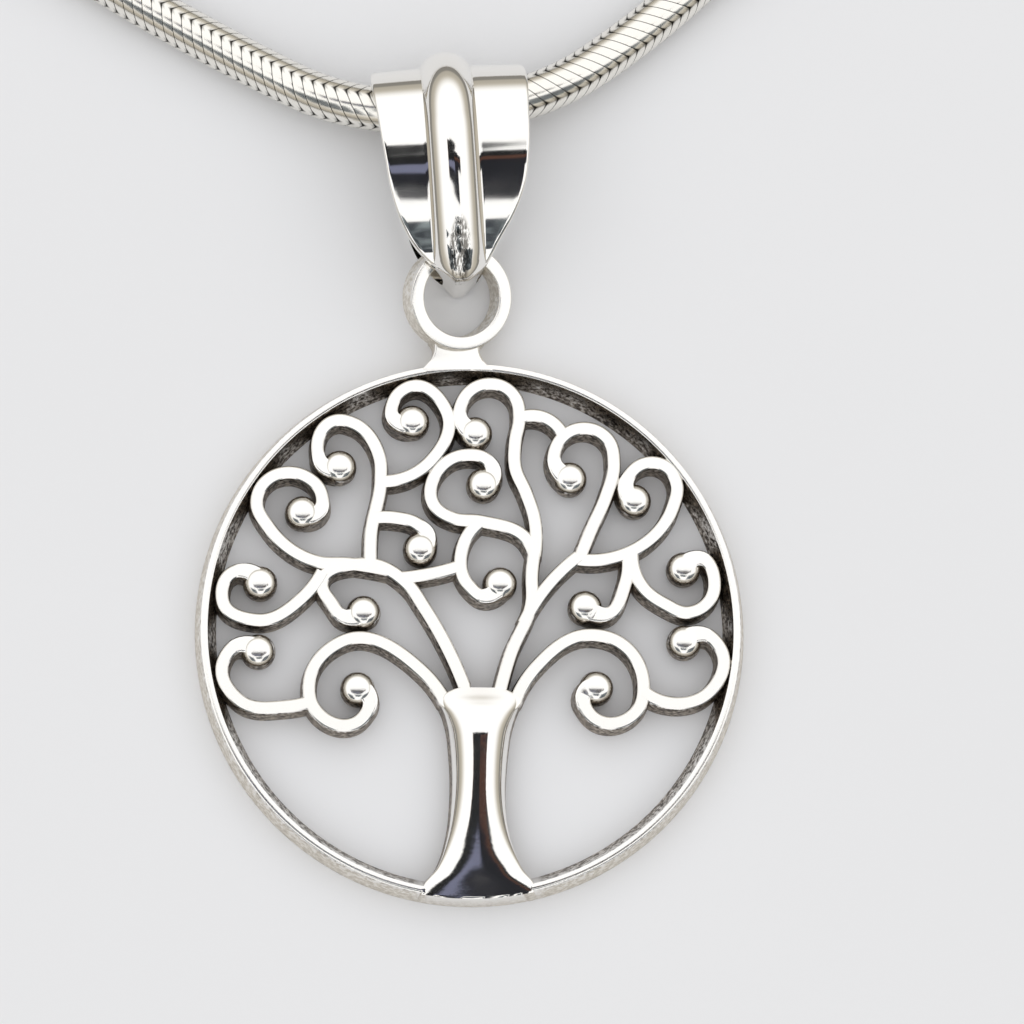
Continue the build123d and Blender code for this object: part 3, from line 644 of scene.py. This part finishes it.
# Boughs that leave the trunk. They run back into it by these lengths, at these shares of their width.
TRUNK_BOUGHS = ("left_main", "left_low_scroll", "right_main", "right_low_scroll")
ROOT_LENGTHS = np.array([0.36, 0.18]) * MM
ROOT_WIDTHS = (0.6, 0.85)
BOUGH_FOOT = 0.86 * MM
BOUGH_TOP = 0.62 * MM
BOUGH_SOFTENING = 0.07 * MM
# Each bough's front is this much higher than that of the bough before it in the list, since fronts
# that lie in one plane can't be joined cleanly
BOUGH_STEP = 0.0015 * MM
# At its ball a bough is wider by this share, which grows over the last stretch of this length
SWELL_SHARE = 0.75
SWELL_LENGTH = 1.7 * MM
BALL_RADIUS = 0.88 * MM
BALL_PROUD = 0.1 * MM
BALL_POWER = 0.62
# Trunk, from where the boughs leave it to the ring's outer edge: height, middle and half width in
# percent of the disc's radius, crest in percent of the highest part, edge in percent of the thickness
TRUNK_CREST = 2.3 * MM
TRUNK = [(-21.6, 3.2, 7.5, 72.5, 99), (-22.8, 3.2, 11, 75.5, 98), (-24.6, 3.2, 13.6, 80, 95),
         (-27, 3.2, 14.2, 87, 88), (-32, 3.3, 12.7, 96, 74), (-37, 3.2, 11.4, 97.6, 64),
         (-43, 3.1, 10.6, 95.8, 60), (-50, 3.0, 10.0, 93.5, 60), (-63, 2.8, 9.8, 89.1, 66),
         (-76, 2.9, 11.4, 84.6, 80), (-87, 3.2, 15.3, 80, 93), (-94, 2.9, 20.0, 76, 97),
         (-99, 1.4, 19.5, 73.3, 98)]
# Neck: way up from the disc's middle in millimetres, share of its width
NECK = [(13.4, 1.6), (13.7, 1.36), (13.9, 1.2), (14.1, 1.1), (14.35, 1.02), (14.6, 1.0), (14.8, 1.06),
        (15.0, 1.2)]
NECK_FOOT = 2.4 * MM
NECK_TOP = 2.2 * MM
LOOP_RADIUS = 2.36 * MM
LOOP_HALF_WIDTH = 0.34 * MM
LOOP_HALF_DEPTH = 0.8 * MM
LOOP_ROUNDING = 0.07 * MM
LOOP_TWIST = math.radians(16)
LOOP_TILT = math.radians(11)
# Lowest point of the loop's middle line, from the middle of the disc's back
LOOP_FOOT = np.array([-0.75, 14.83, 1.23]) * MM
CAST_EDGE_ANGLE = 28
SPECKLES_PER_MM = 4.2
CAST_SILVER = "#F6F4F0"
OXIDE_AND_SHADE_DARK = "#3B322B"
OXIDE_AND_SHADE_PALE = "#BDB1A2"
CLEANED_DARK = "#CFC8BC"
CLEANED_PALE = "#F0EBE2"


def ring_section():
    """Section of the ring from its inner foot over the flat front to its outer foot. Both walls lean
    in, and both front edges are softened in two steps."""
    inner = [(-RING_INNER_EDGE + a * MM, THICKNESS - b * MM) for a, b in RING_SOFTENING]
    outer = [(-RING_OUTER_EDGE - a * MM, THICKNESS - b * MM) for a, b in RING_SOFTENING[::-1]]
    return np.array([(-RING_FOOT, 0)] + inner + outer + [(0, 0)])


def wall_section(foot, top, height):
    """Closed section of a wire, from its left foot round to its right foot: half widths and heights of
    a leaning wall whose top edge is softened in two steps, and a flat top."""
    soft = BOUGH_SOFTENING
    side = [(foot / 2, 0), (top / 2 + 0.55 * soft, height - 1.4 * soft), (top / 2, height - 0.4 * soft),
            (top / 2 - 0.7 * soft, height), (top / 2 - 1.3 * soft, height)]
    return np.array([(-a, b) for a, b in side] + [(a, b) for a, b in side[::-1]])


def flared(line, swell):
    """Width along a bough: one, and towards a ball more by the swell times a power of 1.4 of the share
    of the swell's length that lies behind."""
    left = np.concatenate([[0], np.cumsum(np.abs(np.diff(line[::-1])))])[::-1]
    return 1 + swell * np.clip(1 - left / SWELL_LENGTH, 0, 1) ** 1.4


def carried(line, section, closed=False, scale=1.0):
    """A section carried along a flat line of complex points: across it lies along the line's normal,
    times a scale for each point, and its height goes up. Returns points and faces."""
    if closed:
        ahead = np.roll(line, -1) - np.roll(line, 1)
    else:
        ahead = np.gradient(line)
    across = -1j * ahead / np.abs(ahead) * scale
    place = line[:, None] + across[:, None] * section[:, 0]
    height = np.broadcast_to(section[:, 1], place.shape)
    points = np.stack([place.real, place.imag, height], -1)
    faces = strip_faces(*place.shape, closed=closed).tolist()
    if not closed:
        faces += end_faces(*place.shape)
    return points.reshape(-1, 3), faces


def domed_ball(centre):
    """Ball with its poles up and down: rings of latitude between two pole points. A power under one of
    the latitude's cosine and sine flattens its top a little, as buffing did."""
    rings, spokes = 15, 28
    middle = THICKNESS + BALL_PROUD - BALL_RADIUS
    latitude = np.linspace(-np.pi / 2, np.pi / 2, rings + 2)[1:-1]
    longitude = np.arange(spokes) / spokes * 2 * np.pi
    out = np.cos(latitude) ** BALL_POWER
    rise = np.sign(latitude) * np.abs(np.sin(latitude)) ** BALL_POWER
    ring = out[:, None] * np.exp(1j * longitude) * BALL_RADIUS + centre
    height = np.broadcast_to(middle + BALL_RADIUS * rise[:, None], ring.shape)
    points = np.stack([ring.real, ring.imag, height], -1).reshape(-1, 3)
    points[:, 2] = np.maximum(points[:, 2], 0)
    poles = [[centre.real, centre.imag, 0], [centre.real, centre.imag, middle + BALL_RADIUS]]
    points = np.concatenate([points, poles])
    low_pole = rings * spokes
    high_ring = low_pole - spokes
    turn = np.arange(spokes)
    next_turn = (turn + 1) % spokes
    faces = strip_faces(rings, spokes).tolist()
    faces += np.stack([np.full(spokes, low_pole), next_turn, turn], -1).tolist()
    faces += np.stack([np.full(spokes, low_pole + 1), high_ring + turn, high_ring + next_turn], -1).tolist()
    return points, faces


def make_bough(place_in_list, name, ends_in_ball, rows):
    """Leaning wall along a smooth line through the rows' points, with its ball. Returns its solids."""
    points = np.array([complex(x, y) for x, y in rows]) * DISC_RADIUS / 100
    line = smooth_line(points, 0.16 * MM)
    on_trunk = name in TRUNK_BOUGHS
    if on_trunk:
        back = (line[0] - line[1]) / abs(line[0] - line[1])
        line = np.concatenate([line[0] + back * ROOT_LENGTHS, line])
    width = flared(line, SWELL_SHARE if ends_in_ball else 0)
    if on_trunk:
        width[:len(ROOT_WIDTHS)] = ROOT_WIDTHS
    height = THICKNESS + (place_in_list - len(BOUGHS) // 2) * BOUGH_STEP
    solids = [carried(line, wall_section(BOUGH_FOOT, BOUGH_TOP, height), scale=width)]
    if ends_in_ball:
        solids.append(domed_ball(points[-1]))
    return solids


def arched_trunk():
    """Sections across the trunk, smooth from row to row: low walls, whose feet stand 5 percent further
    out than their tops, and a half ellipse on them. No point lies more than 0.015 mm outside the
    ring's outer wall, whose radius falls with the height."""
    table = np.array(TRUNK)
    down = -table[:, 0]
    at = np.linspace(down[0], down[-1], 100)[:, None]
    smooth = [smooth_line(down + 1j * table[:, i], 0.5) for i in (1, 2, 3, 4)]
    middle, half, full, low = (np.interp(at, line.real, line.imag) for line in smooth)
    crest = TRUNK_CREST * full / 100
    edge = THICKNESS * low / 100
    swing = np.linspace(0, np.pi, 41)
    across = np.concatenate([[1.05], np.cos(swing), [-1.05]])
    rise = np.concatenate([[0], np.sin(swing), [0]])
    on_wall = np.concatenate([[0], np.ones(len(swing)), [0]])
    x = (middle + half * across) * DISC_RADIUS / 100
    z = on_wall * edge + rise * (crest - edge)
    outer_wall = DISC_RADIUS - RING_OUTER_EDGE * z / THICKNESS + 0.015 * MM
    y = -np.minimum(at * DISC_RADIUS / 100, np.sqrt(outer_wall**2 - x**2))
    points = np.stack([x, y, z], -1).reshape(-1, 3)
    return points, strip_faces(*x.shape).tolist() + end_faces(*x.shape)


def short_neck():
    """Leaning wall from the ring up to the loop, narrowest in between. From 13.8 mm on its front rises
    evenly over 1.2 mm, and more on its left, to meet the twisted loop."""
    up, width = np.array(NECK).T
    section = wall_section(NECK_FOOT, NECK_TOP, THICKNESS + 0.02 * MM)
    points, faces = carried(LOOP_FOOT[0] + 1j * up * MM, section, scale=width)
    rise = np.clip((points[:, 1] - 13.8 * MM) / (1.2 * MM), 0, 1)
    tilt = 0.06 * MM - 0.08 * (points[:, 0] - LOOP_FOOT[0])
    points[:, 2] += rise * tilt * (points[:, 2] > 0)
    return points, faces


def hanging_loop():
    """Rounded oblong section turned once round the loop's axis, then twisted and tipped as it hangs on
    the neck."""
    corner = np.concatenate([np.linspace(k, k + 1, 5) for k in range(4)]) * np.pi / 2
    across = np.repeat([1, -1, -1, 1], 5) * (LOOP_HALF_WIDTH - LOOP_ROUNDING) + LOOP_ROUNDING * np.cos(corner)
    deep = np.repeat([1, 1, -1, -1], 5) * (LOOP_HALF_DEPTH - LOOP_ROUNDING) + LOOP_ROUNDING * np.sin(corner)
    turn = np.arange(96)[:, None] / 96 * 2 * np.pi
    x = (LOOP_RADIUS + across) * np.cos(turn)
    y = (LOOP_RADIUS + across) * np.sin(turn) + LOOP_RADIUS
    z = np.broadcast_to(deep, x.shape)
    x, z = (x * math.cos(LOOP_TWIST) + z * math.sin(LOOP_TWIST),
            z * math.cos(LOOP_TWIST) - x * math.sin(LOOP_TWIST))
    y, z = (y * math.cos(LOOP_TILT) - z * math.sin(LOOP_TILT),
            y * math.sin(LOOP_TILT) + z * math.cos(LOOP_TILT))
    points = np.stack([x, y, z], -1) + LOOP_FOOT
    return points.reshape(-1, 3), strip_faces(*x.shape, closed=True)[:, ::-1].tolist()


def cast_in_one(name, solids, material):
    """One closed mesh of all the solids: the first, with the others joined to it by a boolean union."""
    pieces = [new_mesh(f"{name}_{i}", *solid, material) for i, solid in enumerate(solids)]
    others = bpy.data.collections.new("others")
    for piece in pieces[1:]:
        others.objects.link(piece)
    union = pieces[0].modifiers.new("union", "BOOLEAN")
    union.operation = "UNION"
    union.operand_type = "COLLECTION"
    union.collection = others
    union.solver = "MANIFOLD"
    mesh = bpy.data.meshes.new_from_object(pieces[0].evaluated_get(bpy.context.evaluated_depsgraph_get()))
    for piece in pieces:
        bpy.data.objects.remove(piece)
    bpy.data.collections.remove(others)
    mesh.name = name
    mesh.materials.clear()
    mesh.materials.append(material)
    mesh.shade_smooth()
    mesh.set_sharp_from_angle(angle=math.radians(CAST_EDGE_ANGLE))
    whole = bpy.data.objects.new(name, mesh)
    bpy.context.scene.collection.objects.link(whole)
    return whole


def make_medallion(material):
    """The ring, all boughs and balls, the trunk, the neck and the loop, made round the disc's middle
    and put in place together."""
    circle = DISC_RADIUS * np.exp(1j * np.arange(300) / 300 * 2 * np.pi)
    solids = [carried(circle, ring_section(), closed=True)]
    for i, bough in enumerate(BOUGHS):
        solids += make_bough(i, *bough)
    solids += [arched_trunk(), short_neck(), hanging_loop()]
    placed = [(points + disc_middle, faces) for points, faces in solids]
    return cast_in_one("tree_medallion", placed, material)


# Cast sterling silver: fronts buffed white with worn edges, the trunk polished like a mirror, and the
# walls dark and speckled: oxide left on the cast skin, with painted shade of the openwork's recesses in
# the same colour. The ring's outer wall and the loop were cleaned, and get no painted shade.
cast_silver, tree = new_material("cast_silver_buffed_front")
coords = add(tree, "ShaderNodeTexCoord")
surface = add(tree, "ShaderNodeNewGeometry")
facing = add(tree, "ShaderNodeSeparateXYZ", Vector=surface.outputs["Normal"])
grain = add(tree, "ShaderNodeTexNoise", Vector=coords.outputs["Object"], Scale=SPECKLES_PER_MM / MM,
            Detail=4.0, Roughness=0.65)
wear = add(tree, "ShaderNodeMapRange", Value=grain.outputs["Fac"], From_Min=0.3, From_Max=0.7, To_Min=-0.16,
           To_Max=0.16)
worn = add(tree, "ShaderNodeMath", {"operation": "ADD"}, i0=facing.outputs["Z"], i1=wear.outputs["Result"])
buffed = add(tree, "ShaderNodeMapRange", SOFT_RAMP, Value=worn.outputs["Value"], From_Min=0.24, From_Max=0.5)
from_disc = add(tree, "ShaderNodeVectorMath", {"operation": "SUBTRACT"}, i0=coords.outputs["Object"],
                i1=disc_middle)
level = add(tree, "ShaderNodeVectorMath", {"operation": "MULTIPLY"}, i0=from_disc.outputs["Vector"],
            i1=(1, 1, 0))
radius = add(tree, "ShaderNodeVectorMath", {"operation": "LENGTH"}, i0=level.outputs["Vector"])
outer = add(tree, "ShaderNodeMapRange", SOFT_RAMP, Value=radius.outputs["Value"],
            From_Min=13.6 * MM, From_Max=13.8 * MM)
speckle = add(tree, "ShaderNodeMapRange", SOFT_RAMP, Value=grain.outputs["Fac"], From_Min=0.36, From_Max=0.66)
# Dark speckled wall colour: oxide, also standing in for painted shade of the recesses
oxide_and_shade = add(tree, "ShaderNodeMix", OF_COLOURS, i0=speckle.outputs["Result"], i6=linear(OXIDE_AND_SHADE_DARK),
           i7=linear(OXIDE_AND_SHADE_PALE))
cleaned = add(tree, "ShaderNodeMix", OF_COLOURS, i0=speckle.outputs["Result"], i6=linear(CLEANED_DARK),
              i7=linear(CLEANED_PALE))
wall = add(tree, "ShaderNodeMix", OF_COLOURS, i0=outer.outputs["Result"], i6=oxide_and_shade.outputs[2],
           i7=cleaned.outputs[2])
# The trunk's polish reaches about 3 mm to both sides of its middle and down from its upper edge
place = add(tree, "ShaderNodeSeparateXYZ", Vector=from_disc.outputs["Vector"])
aside = add(tree, "ShaderNodeMath", {"operation": "SUBTRACT"}, i0=place.outputs["X"], i1=0.42 * MM)
away = add(tree, "ShaderNodeMath", {"operation": "ABSOLUTE"}, i0=aside.outputs["Value"])
near_trunk = add(tree, "ShaderNodeMapRange", SOFT_RAMP, Value=away.outputs["Value"],
                 From_Min=3.4 * MM, From_Max=2.8 * MM)
below = add(tree, "ShaderNodeMapRange", SOFT_RAMP, Value=place.outputs["Y"],
            From_Min=-3.4 * MM, From_Max=-4.0 * MM)
trunk = add(tree, "ShaderNodeMath", {"operation": "MULTIPLY"}, i0=near_trunk.outputs["Result"],
            i1=below.outputs["Result"])
trunk_front = add(tree, "ShaderNodeMapRange", SOFT_RAMP, Value=facing.outputs["Z"],
                  From_Min=0.12, From_Max=0.35)
mirror = add(tree, "ShaderNodeMath", {"operation": "MULTIPLY"}, i0=trunk.outputs["Value"],
             i1=trunk_front.outputs["Result"])
bright = add(tree, "ShaderNodeMath", {"operation": "MAXIMUM"}, i0=buffed.outputs["Result"],
             i1=mirror.outputs["Value"])
colour = add(tree, "ShaderNodeMix", OF_COLOURS, i0=bright.outputs["Value"], i6=wall.outputs[2],
             i7=linear(CAST_SILVER))
dull = add(tree, "ShaderNodeMapRange", Value=bright.outputs["Value"], To_Min=0.42, To_Max=0.15)
gloss = add(tree, "ShaderNodeMix", {"data_type": "FLOAT"}, i0=mirror.outputs["Value"],
            i2=dull.outputs["Result"], i3=0.06)
pits = add(tree, "ShaderNodeMapRange", Value=bright.outputs["Value"], To_Min=0.55, To_Max=0.04)
rough = add(tree, "ShaderNodeBump", Strength=pits.outputs["Result"], Distance=0.03 * MM,
            Height=grain.outputs["Fac"])
silver = add(tree, "ShaderNodeBsdfPrincipled", Base_Color=colour.outputs[2], Metallic=1.0,
             Roughness=gloss.outputs[0], Normal=rough.outputs["Normal"])
add(tree, "ShaderNodeOutputMaterial", Surface=silver.outputs["BSDF"])

medallion = make_medallion(cast_silver)
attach(medallion, "root")
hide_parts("medallion")
